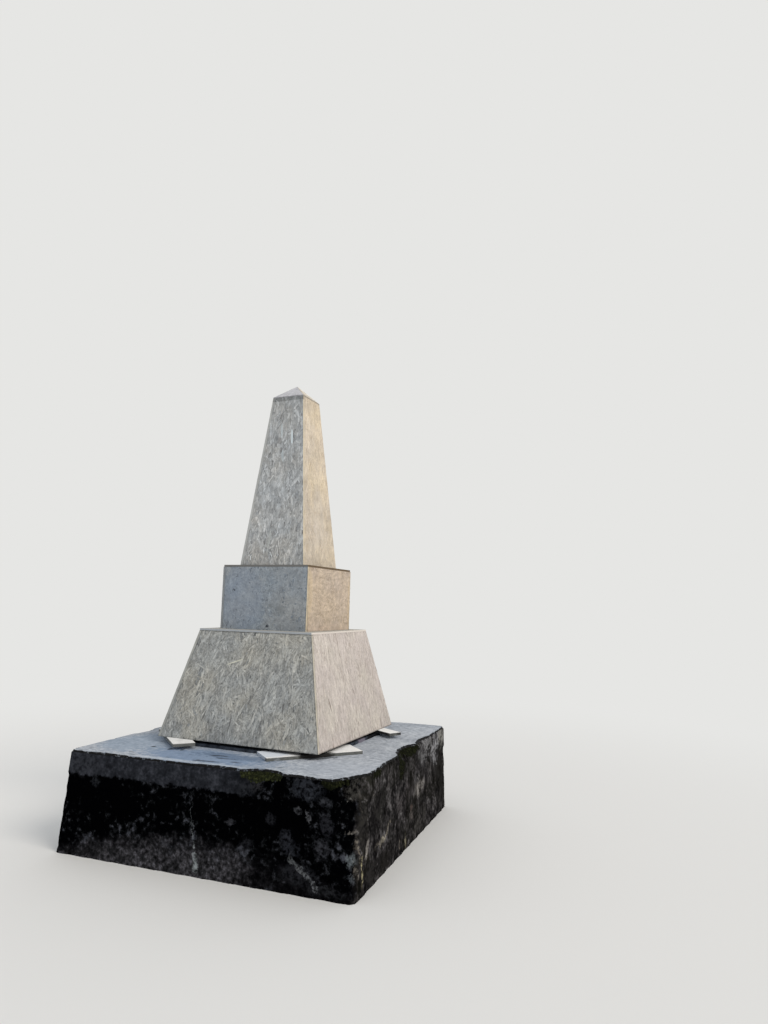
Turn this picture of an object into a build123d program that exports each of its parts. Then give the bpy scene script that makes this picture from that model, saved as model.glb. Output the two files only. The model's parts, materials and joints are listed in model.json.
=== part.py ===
from build123d import *
import math
import os

os.makedirs("parts", exist_ok=True)

# Old rough concrete block. It stands slightly askew under the tower.
block_width = 2006.0
block_depth = 2004.0
block_height = 618.0
block_foot_spread = 18.0
left_foot_spread = 45.0
block_turn = 3.0
block_centre_x = -2.0
block_centre_y = -38.0
near_corner_wear = 60.0
other_corner_wear = 45.0

# The near corner is broken off on a slant that dies out a little below the ground
break_along_front = 147.0
break_along_right = 257.0
break_end_depth = 40.0

# Cement screed on the block's top
screed_thickness = 12.0
screed_set_in = 6.0

# Dark mortar bed, and the white packing boards on it that carry the tower. The near
# packing board lies lower, on the screed in front of the bed's cut corner.
bed_width = 1242.0
bed_corner_radius = 255.0
bed_thickness = 20.0
bed_to_near_packing = 8.0
packing_thickness = 20.0
packing_length = 610.0
near_packing_length = 653.0
near_packing_width = 218.0
near_packing_reach = 674.0
near_packing_skew = 3.4
near_packing_slide = 14.0
right_packing_width = 102.0
right_packing_reach = 696.0
right_packing_skew = 14.0
right_packing_slide = -40.0
back_packing_width = 140.0
back_packing_reach = 740.0
back_packing_skew = -2.0
back_packing_slide = 10.0
left_packing_width = 144.0
left_packing_reach = 762.0
left_packing_skew = 3.6
left_packing_slide = 5.0

# The tower's boards: oriented strand board in three tiers
board_thickness = 18.0
plinth_foot_width = 1250.0
plinth_top_width = 910.0
plinth_height = 728.0
deck_thickness = 12.0
die_width = 705.0
die_height = 450.0
lid_thickness = 14.0
lid_set_in = 3.0
shaft_foot_width = 533.0
shaft_top_width = 266.0
shaft_height = 1315.0

# Pyramid cap of four thin triangular boards
cap_thickness = 12.0
cap_eave = 7.0
cap_rise = 117.0

# Directions that the tower's sides and corners face, in degrees about +Z
side_direction = {"right": 0.0, "back": 90.0, "left": 180.0, "front": 270.0}
corner_direction = {"right": 45.0, "back": 135.0, "left": 225.0, "near": 315.0}
block_reach = {
    "right": block_width / 2,
    "back": block_depth / 2,
    "left": block_width / 2,
    "front": block_depth / 2,
}

# Each of a tier's boards has one end behind its neighbour and laps the next one with the other
lapped_by = {"front": "left", "right": "front", "back": "right", "left": "back"}

# Levels, from the ground up
screed_level = block_height
bed_level = screed_level + screed_thickness
packing_level = bed_level + bed_thickness
plinth_level = packing_level + packing_thickness
deck_level = plinth_level + plinth_height
die_level = deck_level + deck_thickness
lid_level = die_level + die_height
shaft_level = lid_level + lid_thickness
cap_level = shaft_level + shaft_height


def save(part, name):
    """Label a finished piece and write it under its own name."""
    part.label = name
    export_step(part, f"parts/{name}.step")


def block_plane(level, shift=0.0):
    """Plane of the block's own axes, turned a little from the tower's, shifted to the right."""
    turn = math.radians(block_turn)
    return Plane(
        origin=(
            block_centre_x + shift * math.cos(turn),
            block_centre_y + shift * math.sin(turn),
            level,
        ),
        x_dir=(math.cos(turn), math.sin(turn), 0),
        z_dir=(0, 0, 1),
    )


def worn_outline(width, depth):
    """Rectangle with worn corners, the near one worn most."""
    Rectangle(width, depth)
    to_near_corner = Axis((0, 0, 0), (1, -1, 0))
    fillet(vertices().sort_by(to_near_corner)[-1], near_corner_wear)
    fillet(vertices().sort_by(to_near_corner)[:3], other_corner_wear)


# Hollows broken out of the block's top edges. Each has the side that it is
# on, its place along that side from the middle, and then its half length,
# its reach into the top and its drop down the face.
edge_hollows = [
    ("front", 415.0, 146.0, 68.0, 92.0),
    ("front", 110.0, 190.0, 28.0, 36.0),
    ("front", -690.0, 170.0, 20.0, 34.0),
    ("front", 640.0, 120.0, 22.0, 40.0),
    ("right", -17.0, 226.0, 66.0, 78.0),
    ("right", 350.0, 205.0, 32.0, 40.0),
    ("right", -470.0, 120.0, 16.0, 36.0),
    ("back", 330.0, 160.0, 30.0, 52.0),
    ("back", -520.0, 110.0, 24.0, 30.0),
    ("left", 260.0, 130.0, 34.0, 46.0),
    ("left", -560.0, 100.0, 20.0, 28.0),
]


def cut_edge_hollows():
    """Scoop each hollow with the one sphere that meets the three given extents."""
    for side, along, half_length, reach, drop in edge_hollows:
        facing = math.radians(side_direction[side])
        outward = (half_length**2 - reach**2) / (2 * reach)
        upward = (half_length**2 - drop**2) / (2 * drop)
        radius = math.sqrt(half_length**2 + outward**2 + upward**2)
        distance = block_reach[side] + outward
        across = (math.cos(facing), math.sin(facing))
        top = block_plane(block_height + screed_thickness)
        centre = top.from_local_coords(
            (
                across[0] * distance - across[1] * along,
                across[1] * distance + across[0] * along,
                upward,
            )
        )
        with Locations(centre):
            Sphere(radius, mode=Mode.SUBTRACT)


def corner_break_plane():
    """Plane of the broken near corner: from its line across the top to its end on the arris."""
    half_width = block_width / 2
    half_depth = block_depth / 2
    top = block_height + screed_thickness
    on_front = block_plane(top).from_local_coords((half_width - break_along_front, -half_depth, 0))
    on_right = block_plane(top).from_local_coords((half_width, -half_depth + break_along_right, 0))
    foot_corner = (half_width + block_foot_spread, -half_depth - block_foot_spread, -break_end_depth)
    on_arris = block_plane(0).from_local_coords(foot_corner)
    outward = (on_arris - on_front).cross(on_right - on_front)
    return Plane(origin=on_front, z_dir=outward)


# Base block
foot_width = block_width + block_foot_spread + left_foot_spread
foot_shift = (block_foot_spread - left_foot_spread) / 2
with BuildPart() as base_block:
    with BuildSketch(block_plane(0, foot_shift)):
        worn_outline(foot_width, block_depth + 2 * block_foot_spread)
    with BuildSketch(block_plane(block_height)):
        worn_outline(block_width, block_depth)
    loft()
    split(bisect_by=corner_break_plane(), keep=Keep.BOTTOM)
    cut_edge_hollows()
save(base_block.part, "base_block")

# Screed on the block, broken back along the same hollows
with BuildPart() as top_screed:
    with BuildSketch(block_plane(screed_level)):
        worn_outline(block_width - 2 * screed_set_in, block_depth - 2 * screed_set_in)
    extrude(amount=screed_thickness)
    split(bisect_by=corner_break_plane(), keep=Keep.BOTTOM)
    cut_edge_hollows()
save(top_screed.part, "top_screed")


def packing_plane(level, corner, reach, skew, slide):
    """Plane across one corner of the plinth, with a board's grain along its X."""
    out = math.radians(corner_direction[corner])
    along = out + math.radians(90)
    grain = along + math.radians(skew)
    return Plane(
        origin=(
            reach * math.cos(out) + slide * math.cos(along),
            reach * math.sin(out) + slide * math.sin(along),
            level,
        ),
        x_dir=(math.cos(grain), math.sin(grain), 0),
        z_dir=(0, 0, 1),
    )


# Near packing board, flat on the screed
near_plane = packing_plane(
    bed_level, "near", near_packing_reach, near_packing_skew, near_packing_slide
)
with BuildPart() as near_packing_board:
    with BuildSketch(near_plane):
        Rectangle(near_packing_length, near_packing_width)
    extrude(amount=packing_thickness)
save(near_packing_board.part, "near_packing_board")

# Mortar bed, its near corner cut off along the back edge of that board
cut_middle = near_plane.from_local_coords((0, near_packing_width / 2 + bed_to_near_packing, 0))
with BuildPart() as mortar_bed:
    with BuildSketch(Plane.XY.offset(bed_level)):
        RectangleRounded(bed_width, bed_width, bed_corner_radius)
    extrude(amount=bed_thickness)
    split(bisect_by=Plane(origin=cut_middle, z_dir=near_plane.y_dir), keep=Keep.TOP)
save(mortar_bed.part, "mortar_bed")

# The other packing boards, laid on the bed across the corners, under the plinth's boards
packing_boards = {
    "right": (right_packing_width, right_packing_reach, right_packing_skew, right_packing_slide),
    "back": (back_packing_width, back_packing_reach, back_packing_skew, back_packing_slide),
    "left": (left_packing_width, left_packing_reach, left_packing_skew, left_packing_slide),
}
for corner, (width, reach, skew, slide) in packing_boards.items():
    with BuildPart() as packing_board:
        with BuildSketch(packing_plane(packing_level, corner, reach, skew, slide)):
            Rectangle(packing_length, width)
        extrude(amount=packing_thickness)
    save(packing_board.part, f"{corner}_packing_board")


def inner_face(side, foot_width, top_width, level, height):
    """Plane of a tier board's inner face, its normal pointing outwards."""
    facing = math.radians(side_direction[side])
    lean = math.atan2((foot_width - top_width) / 2, height)
    normal = Vector(
        math.cos(facing) * math.cos(lean),
        math.sin(facing) * math.cos(lean),
        math.sin(lean),
    )
    foot_edge = Vector(
        math.cos(facing) * foot_width / 2,
        math.sin(facing) * foot_width / 2,
        level,
    )
    return Plane(origin=foot_edge - normal * board_thickness, z_dir=normal)


def tier_board(side, *sizes):
    """One board of a four-sided tier, cut on a compound angle where its neighbour laps it."""
    foot_width, top_width, level, height = sizes
    with BuildPart() as board:
        with BuildSketch(Plane.XY.offset(level)):
            Rectangle(foot_width, foot_width)
        with BuildSketch(Plane.XY.offset(level + height)):
            Rectangle(top_width, top_width)
        loft()
        split(bisect_by=inner_face(side, *sizes), keep=Keep.TOP)
        split(bisect_by=inner_face(lapped_by[side], *sizes), keep=Keep.BOTTOM)
    return board.part


# Plinth, die and shaft, four boards each
tiers = {
    "plinth": (plinth_foot_width, plinth_top_width, plinth_level, plinth_height),
    "die": (die_width, die_width, die_level, die_height),
    "shaft": (shaft_foot_width, shaft_top_width, shaft_level, shaft_height),
}
for tier, sizes in tiers.items():
    for side in side_direction:
        save(tier_board(side, *sizes), f"{tier}_{side}_board")

# Deck on the plinth
with BuildPart() as plinth_deck:
    with BuildSketch(Plane.XY.offset(deck_level)):
        Rectangle(plinth_top_width, plinth_top_width)
    extrude(amount=deck_thickness)
save(plinth_deck.part, "plinth_deck")

# Lid on the die
with BuildPart() as die_lid:
    with BuildSketch(Plane.XY.offset(lid_level)):
        Rectangle(die_width - 2 * lid_set_in, die_width - 2 * lid_set_in)
    extrude(amount=lid_thickness)
save(die_lid.part, "die_lid")


def slope_plane(side, depth):
    """Plane of a cap slope, or of one sunk by a depth, its normal pointing outwards."""
    facing = math.radians(side_direction[side])
    pitch = math.atan2(cap_rise, shaft_top_width / 2)
    normal = Vector(
        math.cos(facing) * math.sin(pitch),
        math.sin(facing) * math.sin(pitch),
        math.cos(pitch),
    )
    apex = Vector(0, 0, cap_level + cap_eave + cap_rise)
    return Plane(origin=apex - normal * depth, z_dir=normal)


def cap_board(side):
    """One triangular board of the cap, mitred to its neighbours along the hips."""
    facing = side_direction[side]
    with BuildPart() as board:
        with BuildSketch(Plane.XY.offset(cap_level)):
            Rectangle(shaft_top_width, shaft_top_width)
        extrude(amount=cap_eave + cap_rise)
        for other in side_direction:
            split(bisect_by=slope_plane(other, 0), keep=Keep.BOTTOM)
        split(bisect_by=slope_plane(side, cap_thickness), keep=Keep.TOP)
        for hip in (facing - 45, facing + 45):
            across = math.radians(hip + 90 if hip < facing else hip - 90)
            mitre = Plane(origin=(0, 0, cap_level), z_dir=(math.cos(across), math.sin(across), 0))
            split(bisect_by=mitre, keep=Keep.TOP)
    return board.part


for side in side_direction:
    save(cap_board(side), f"cap_{side}_board")
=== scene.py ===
import bmesh
import bpy
import json
import math
import numpy as np
import random
from collections import namedtuple
from mathutils import Matrix, Vector, noise

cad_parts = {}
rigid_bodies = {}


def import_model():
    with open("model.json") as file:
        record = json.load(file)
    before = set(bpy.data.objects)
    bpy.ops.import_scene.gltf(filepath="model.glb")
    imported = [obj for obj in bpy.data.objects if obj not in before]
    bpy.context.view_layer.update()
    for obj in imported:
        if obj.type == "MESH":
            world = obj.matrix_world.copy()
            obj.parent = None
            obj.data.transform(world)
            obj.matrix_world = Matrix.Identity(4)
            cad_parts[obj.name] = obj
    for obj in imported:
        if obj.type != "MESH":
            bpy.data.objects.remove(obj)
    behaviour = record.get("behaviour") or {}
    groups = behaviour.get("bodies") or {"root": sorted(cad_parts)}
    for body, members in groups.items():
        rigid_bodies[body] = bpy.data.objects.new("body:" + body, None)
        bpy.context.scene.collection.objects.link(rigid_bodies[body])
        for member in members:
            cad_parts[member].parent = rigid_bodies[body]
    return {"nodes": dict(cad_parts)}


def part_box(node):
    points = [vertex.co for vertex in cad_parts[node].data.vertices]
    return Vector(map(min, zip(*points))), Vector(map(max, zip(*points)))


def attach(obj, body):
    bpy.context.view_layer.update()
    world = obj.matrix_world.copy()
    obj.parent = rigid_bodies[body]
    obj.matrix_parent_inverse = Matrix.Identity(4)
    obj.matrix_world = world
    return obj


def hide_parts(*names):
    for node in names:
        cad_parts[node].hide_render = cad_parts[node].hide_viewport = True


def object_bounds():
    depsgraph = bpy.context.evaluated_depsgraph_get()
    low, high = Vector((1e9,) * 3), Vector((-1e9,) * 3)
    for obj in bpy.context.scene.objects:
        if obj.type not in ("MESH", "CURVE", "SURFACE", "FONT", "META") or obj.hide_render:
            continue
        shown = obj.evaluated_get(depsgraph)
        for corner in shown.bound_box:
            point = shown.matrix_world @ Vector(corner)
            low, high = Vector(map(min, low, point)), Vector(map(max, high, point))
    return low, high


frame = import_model()
cad_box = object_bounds()

MM = 0.001
SEED = 41
TIERS = ("plinth", "die", "shaft", "cap")

# The block's own axes: a little askew under the tower, as in the CAD solids
BLOCK_TURN = math.radians(3.0)
BLOCK_CENTRE = Vector((-2.0, -38.0, 0)) * MM
BLOCK_AXES = {"Location": BLOCK_CENTRE, "Rotation": (0, 0, BLOCK_TURN)}

# Direction that each side of the tower faces, about +Z from +X
FACING = {"front": 270, "right": 0, "back": 90, "left": 180}
# Painted light: the right and back sides take the sunned copies of the wood's tints and wear, the front
# and left the shaded copies
LIGHT = {"front": "shaded", "right": "sunned", "back": "sunned", "left": "shaded"}


def colour(hex_code):
    """An sRGB hex colour as linear RGBA."""
    channels = [int(hex_code[i:i + 2], 16) / 255 for i in (1, 3, 5)]
    linear = [c / 12.92 if c <= 0.04045 else ((c + 0.055) / 1.055) ** 2.4 for c in channels]
    return (*linear, 1.0)


def feed(tree, node, inputs):
    """Set a node's inputs, by name or in the order of its open sockets: a value, a socket or a node."""
    sockets = [s for s in node.inputs if s.enabled]
    pairs = inputs.items() if isinstance(inputs, dict) else enumerate(inputs)
    for key, value in pairs:
        target = sockets[key] if isinstance(key, int) else next(s for s in sockets if s.name == key)
        if isinstance(value, bpy.types.Node):
            value = next(s for s in value.outputs if s.enabled)
        if isinstance(value, bpy.types.NodeSocket):
            tree.links.new(value, target)
        else:
            target.default_value = value


# The setting that a kind of node gives after its dot
MAIN_SETTING = {
    "Math": "operation",
    "VectorMath": "operation",
    "Mix": "data_type",
    "MapRange": "interpolation_type",
    "Mapping": "vector_type",
    "Attribute": "attribute_name",
}


def add(tree, kind, inputs=(), stops=(), **settings):
    """Add a node with its settings, inputs and colour stops; a kind with no prefix is a shader node."""
    kind, _, chosen = kind.partition(".")
    if chosen:
        settings[MAIN_SETTING[kind]] = chosen
    node = tree.nodes.new(kind if "Node" in kind else f"ShaderNode{kind}")
    for name, value in settings.items():
        setattr(node, name, value)
    feed(tree, node, inputs)
    for i, (position, code) in enumerate(stops):
        elements = node.color_ramp.elements
        element = elements[i] if i < len(elements) else elements.new(1.0)
        element.position, element.color = position, colour(code)
    return node


def new_material(name, roughness, specular):
    """Empty material: its tree, its shader and its Object coordinates."""
    material = bpy.data.materials.new(name)
    material.use_nodes = True
    tree = material.node_tree
    tree.nodes.clear()
    shader = add(tree, "BsdfPrincipled", {"Roughness": roughness, "Specular IOR Level": specular})
    add(tree, "OutputMaterial", {"Surface": shader})
    return material, tree, shader, add(tree, "TexCoord").outputs["Object"]


def stretched_noise(tree, place, scale, *grain):
    """Noise of its own size along each axis; grain: detail, roughness, lacunarity, distortion."""
    stretched = add(tree, "Mapping", {"Vector": place, "Scale": scale})
    return add(tree, "TexNoise", [stretched, 1.0, *grain])


def oval(tree, flat, rough, centre_mm, half_mm, lean=0.0):
    """Factor that is 1 inside an oval and 0 outside it, its rim made ragged by a noise around 0."""
    centre = (centre_mm[0] * MM, centre_mm[1] * MM, 0)
    any_depth = 1000.0
    half = (half_mm[0] * MM, half_mm[1] * MM, any_depth)
    own = add(tree, "Mapping.TEXTURE", [flat, centre, (0, 0, lean), half])
    out = add(tree, "VectorMath.LENGTH", [own])
    ragged = add(tree, "Math.ADD", [out, rough])
    return add(tree, "MapRange.SMOOTHSTEP", [ragged, 1.15, 0.75])


def paint_ovals(tree, under, flat, rough, mask, marks):
    """Lay marks over a colour, each an oval with its own colour and strength."""
    for centre, half, lean, code, strength in marks:
        inside = oval(tree, flat, rough, centre, half, lean)
        shown = add(tree, "Math.MULTIPLY", [inside, strength])
        shown = add(tree, "Math.MULTIPLY", [shown, mask])
        under = add(tree, "Mix.RGBA", [shown, under, colour(code)])
    return under


# Weathered strand board. The strands lie as separate thin flakes on each face; the board between
# them and its cut edges show in the CAD boards' own material. For each tier and light: two tints of
# the strands, the dark slits, the pale raised strands and the cut edge. The sunned tints are warmer
# and lighter and the shaded ones greyer and bluer: painted sunlight and painted sky-lit shade, over
# what the lamps give.
Tints = namedtuple("Tints", "cool warm dark pale edge")
TINTS = {
    ("plinth", "shaded"): Tints("#999c9c", "#a5a39b", "#565756", "#c6c8c2", "#9c9e9a"),
    ("plinth", "sunned"): Tints("#c1b8b3", "#cac3b9", "#93877d", "#dcd6cc", "#bdb6a6"),
    ("die", "shaded"): Tints("#88929c", "#989b9c", "#5d6167", "#b0b8be", "#85898c"),
    ("die", "sunned"): Tints("#b8aa9d", "#c3b29d", "#8e7d68", "#dccfbb", "#cabb9f"),
    ("shaft", "shaded"): Tints("#aaaeb1", "#b5b3ae", "#6e6c6a", "#d3dadd", "#b0b2b0"),
    ("shaft", "sunned"): Tints("#cdc2b4", "#d5c6ad", "#ab987e", "#e8e0cf", "#d9cbb1"),
    ("cap", "shaded"): Tints("#bfbfc4", "#c5c5c5", "#9d9da0", "#d6d6d8", "#b6b6b8"),
    ("cap", "sunned"): Tints("#d2cbc0", "#d8d1c4", "#b5a48d", "#e6e1d8", "#a9987f"),
}

# How strongly the strands differ from each other, the streaks along each strand and the small spots
# show; how strongly the light changes in stains of a hand's width and in blotches of a thumb's width;
# how strongly the curved rings of the wood's figure show; and what is left of the light at the ends
# of each face (painted shade in the joint with the lapping board, and the worn arris) and in the lines
# along its foot and top (painted shade in the joints there)
Wear = namedtuple("Wear", "apart streaky spotty stained blotched figure ends foot top")
WEAR = {
    ("plinth", "shaded"): Wear(0.5, 1.2, 0.9, 0.36, 0.6, 0.03, 0.58, 0.8, 0.62),
    ("plinth", "sunned"): Wear(0.2, 0.8, 0.3, 0.26, 0.26, 0.01, 0.9, 0.62, 0.95),
    ("die", "shaded"): Wear(0.2, 0.6, 0.8, 0.24, 0.46, 0.03, 0.8, 1.0, 0.95),
    ("die", "sunned"): Wear(0.2, 0.4, 0.6, 0.2, 0.34, 0.07, 0.96, 1.0, 1.0),
    ("shaft", "shaded"): Wear(0.52, 1.2, 0.4, 0.4, 0.34, 0.05, 0.92, 0.55, 0.62),
    ("shaft", "sunned"): Wear(0.16, 0.5, 0.5, 0.6, 0.4, 0.01, 0.96, 0.42, 0.85),
    ("cap", "shaded"): Wear(0.1, 0.3, 0.1, 0.2, 0.2, 0.0, 0.9, 0.62, 1.0),
    ("cap", "sunned"): Wear(0.1, 0.3, 0.1, 0.2, 0.2, 0.0, 0.96, 0.55, 1.0),
}

# Knots, cracks and stray pale strands that can be told on single faces: place along the face and
# height, half sizes, lean, colour and strength
BOARD_MARKS = {
    ("shaft", "front"): [
        ((70, 2858), (8, 64), 0.1, "#cfdade", 1.0),
        ((84, 2858), (4, 58), 0.1, "#5c5e60", 0.7),
        ((-25, 2917), (8, 60), 0.1, "#b9c4c8", 0.7),
        ((2, 2722), (11, 60), 0.2, "#b4bec2", 0.7),
        ((-36, 2836), (20, 30), 0.3, "#7f7d7c", 0.6),
        ((-60, 2850), (7, 32), -0.1, "#66686a", 0.5),
        ((45, 2000), (5, 60), 0.25, "#6a6a6a", 0.6),
        ((-40, 2060), (9, 110), -0.1, "#bcc0bc", 0.5),
    ],
    ("shaft", "right"): [
        ((-196, 2530), (13, 640), -0.1, "#d8bf90", 0.45),
        ((10, 2250), (90, 260), 0.0, "#cfc6bb", 0.5),
    ],
    ("die", "right"): [
        ((-330, 1680), (60, 190), 0.0, "#cdb997", 0.4),
        ((0, 1425), (400, 40), 0.0, "#cdbcab", 0.4),
        ((335, 1600), (24, 220), 0.0, "#c9b48f", 0.4),
    ],
    ("die", "front"): [
        ((-190, 1630), (190, 260), 0.0, "#8692a3", 0.4),
        ((210, 1640), (150, 260), 0.0, "#8d8f90", 0.3),
        ((-252, 1690), (14, 9), 0.0, "#3e424a", 0.9),
        ((42, 1440), (13, 10), 0.4, "#3c4047", 0.9),
        ((-130, 1640), (60, 30), 0.2, "#99a0a6", 0.35),
        ((120, 1560), (70, 40), -0.4, "#6f7577", 0.35),
    ],
    ("plinth", "front"): [
        ((-110, 1192), (4, 70), -1.24, "#c9c8b8", 0.9),
        ((325, 924), (5, 30), 0.1, "#4d4b4c", 0.8),
        ((65, 955), (7, 34), -0.3, "#565556", 0.6),
        ((-279, 833), (7, 40), -0.3, "#565556", 0.6),
        ((180, 790), (7, 50), 0.1, "#4f4d4f", 0.6),
        ((-60, 800), (6, 44), -0.1, "#4f4d4f", 0.6),
    ],
    ("plinth", "right"): [
        ((-358, 935), (6, 50), 0.24, "#857a70", 0.85),
        ((425, 710), (6, 40), 0.05, "#8c7f7a", 0.85),
        ((179, 1078), (9, 13), 0.2, "#968b84", 0.7),
    ],
}


def weathering_and_painted_shade(tree, place, tier, light):
    """Light left by stains, and painted shade: dark lines in the joints at foot and top, a band under the
    cap.
    """
    wear = WEAR[tier, light]
    low, high = (corner[2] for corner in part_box(f"{tier}_front_board"))
    stains = add(tree, "TexNoise", [place, 4.2, 4.0])
    blotches = add(tree, "TexNoise", [place, 17.0, 3.0])
    runs = stretched_noise(tree, place, (30, 30, 3.2), 3.0)
    parts = []
    for pattern, swing in ((stains, wear.stained), (blotches, wear.blotched), (runs, 0.16)):
        parts.append(add(tree, "Math.MULTIPLY_ADD", [pattern, swing, 1 - swing / 2]))
    height = add(tree, "SeparateXYZ", [place]).outputs["Z"]
    # Painted shade: dark lines in the joints at each tier's foot and top, and on the shaded shaft a band
    # 30 mm deep under the cap's eave, painted shadow of the eave
    foot = [height, low + 4 * MM, low + 9 * MM, wear.foot]
    line = 30 * MM if tier == "shaft" and light == "shaded" else 7 * MM
    top = [height, high - line - 4 * MM, high - line + 2 * MM, 1.0, wear.top]
    ends = [add(tree, "MapRange.SMOOTHSTEP", end) for end in (foot, top)]
    parts.append(add(tree, "Math.MULTIPLY", ends))

    # The sunned boards are bleached towards their tops
    bleached = 0.06 if light == "sunned" else 0.0
    parts.append(add(tree, "MapRange", [height, low, high, 1 - bleached, 1 + bleached]))
    left = parts[0]
    for part in parts[1:]:
        left = add(tree, "Math.MULTIPLY", [left, part])
    return left


def strand_material(tier, side):
    """Weathered wood strands: silvered softwood, dull, each with its own tint and streaks along it."""
    light = LIGHT[side]
    tints, wear = TINTS[tier, light], WEAR[tier, light]
    material, tree, shader, place = new_material(f"weathered wood strands, {tier} {side}", 0.9, 0.2)
    stored = [add(tree, f"Attribute.{name}").outputs["Fac"] for name in ("shade", "kind", "side", "rim")]
    shade, kind, beside, rim = stored
    far_apart = add(tree, "Math.MULTIPLY", [shade, 7.0])
    strand_uv = add(tree, "UVMap", uv_map="strand")
    own = add(tree, "VectorMath.ADD", [strand_uv, far_apart])

    # Streaks about 7 mm wide show from afar; the real fibres, under 2 mm wide, only near by
    streaks = stretched_noise(tree, own, (150, 26, 1), 2.0, 0.6)
    fibres = stretched_noise(tree, own, (600, 26, 1), 2.0)
    spots = add(tree, "TexNoise", [place, 75.0, 2.0])
    few_pale = add(tree, "Math.MULTIPLY", [shade, shade])
    level = add(tree, "Math.MULTIPLY_ADD", [few_pale, wear.apart, 1 - wear.apart / 3])
    for pattern, swing in ((streaks, wear.streaky), (fibres, wear.streaky * 0.35), (spots, wear.spotty)):
        part = add(tree, "Math.MULTIPLY_ADD", [pattern, swing, -swing / 2])
        level = add(tree, "Math.ADD", [level, part])

    # Curved rings of the wood's figure, wider than high and plainest on the die's sunned sides
    field = stretched_noise(tree, place, (2.8, 2.8, 6.5), 2.0)
    rings = add(tree, "Math.MULTIPLY", [field, 65.0])
    rings = add(tree, "Math.SINE", [rings])
    level = add(tree, "Math.MULTIPLY_ADD", [rings, wear.figure, level])

    # A strand's long edges are darker, painted shade along the step to the strands under it, and
    # nothing is darker than three tenths of its tint
    edge = add(tree, "Math.ABSOLUTE", [beside])
    painted_edge_shade = add(tree, "MapRange", [edge, 0.7, 1.0, 1.0, 1 - 0.4 * wear.apart])
    level = add(tree, "Math.MULTIPLY", [level, painted_edge_shade])
    level = add(tree, "Math.MAXIMUM", [level, 0.3])

    # Tint, which drifts over the face and differs a little from strand to strand
    pick = add(tree, "Math.FRACT", [far_apart])
    drift = add(tree, "TexNoise", [place, 3.5, 3.0])
    drift = add(tree, "MapRange", [drift, 0.38, 0.62])
    pick = add(tree, "Mix.FLOAT", [0.7, pick, drift])
    tint = add(tree, "Mix.RGBA", [pick, colour(tints.cool), colour(tints.warm)])
    reach = 0.6 if light == "shaded" else 0.5
    for share, code in ((reach, tints.pale), (-reach, tints.dark)):
        toward = add(tree, "Math.MULTIPLY", [kind, share], use_clamp=True)
        tint = add(tree, "Mix.RGBA", [toward, tint, colour(code)])
    tint = add(tree, "VectorMath.SCALE", [tint, level])
    axes = add(tree, "SeparateXYZ", [place]).outputs
    along = axes["X"] if side in ("front", "back") else axes["Y"]
    flat = add(tree, "CombineXYZ", [along, axes["Z"]])
    ragged = add(tree, "Math.MULTIPLY_ADD", [streaks, 1.0, -0.5])
    tint = paint_ovals(tree, tint, flat, ragged, 1.0, BOARD_MARKS.get((tier, side), ()))

    # A dark line at both ends of each face: painted shade in the joint with the lapping board, and the
    # worn arris
    joint_shade_and_arris = add(tree, "MapRange.SMOOTHSTEP", [rim, 2 * MM, 8 * MM, wear.ends])
    lit = add(tree, "Math.MULTIPLY", [weathering_and_painted_shade(tree, place, tier, light), joint_shade_and_arris])
    worn = add(tree, "VectorMath.SCALE", [tint, lit])
    bump = add(tree, "Bump", {"Strength": 0.5, "Distance": 0.4 * MM, "Height": fibres})
    feed(tree, shader, {"Base Color": worn, "Normal": bump})
    return material


def board_material(tier, side):
    """Strand board under the strands: a darker face, and cut edges with their thin layers and voids."""
    light = LIGHT[side]
    tints = TINTS[tier, light]
    material, tree, shader, place = new_material(f"weathered strand board, {tier} {side}", 0.92, 0.2)
    turn = math.radians(270 - FACING[side])
    turned = add(tree, "Mapping", {"Vector": place, "Rotation": (0, 0, turn)})
    flecks = stretched_noise(tree, turned, (110, 110, 22), 3.0)
    face = add(tree, "ValToRGB", [flecks], [(0.3, tints.dark), (0.62, tints.cool)])

    # The cut end of each board looks to the next side round, so it takes that side's light
    ahead = {"front": "right", "right": "back", "back": "left", "left": "front"}[side]
    normal = add(tree, "NewGeometry").outputs["True Normal"]
    normal = add(tree, "VectorRotate", {"Vector": normal, "Angle": turn}, rotation_type="Z_AXIS")
    across = add(tree, "SeparateXYZ", [normal]).outputs["X"]
    is_edge = add(tree, "Math.ABSOLUTE", [across])
    is_edge = add(tree, "Math.GREATER_THAN", [is_edge, 0.6])
    layers = stretched_noise(tree, turned, (20, 280, 20), 3.0)
    edge_stops = [(0.25, tints.warm), (0.5, TINTS[tier, LIGHT[ahead]].edge)]
    edge = add(tree, "ValToRGB", [layers], edge_stops)
    pores = add(tree, "TexNoise", [turned, 90.0, 2.0])
    voids = add(tree, "MapRange", [pores, 0.66, 0.74, 0.0, 0.7])
    edge = add(tree, "Mix.RGBA", [voids, edge, colour(tints.dark)])
    surface = add(tree, "Mix.RGBA", [is_edge, face, edge])
    weather = weathering_and_painted_shade(tree, place, tier, light)
    worn = add(tree, "VectorMath.SCALE", [surface, weather])
    height = add(tree, "Math.ADD", [flecks, layers])
    bump = add(tree, "Bump", {"Strength": 0.6, "Distance": 0.8 * MM, "Height": height})
    feed(tree, shader, {"Base Color": worn, "Normal": bump})
    return material


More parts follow.
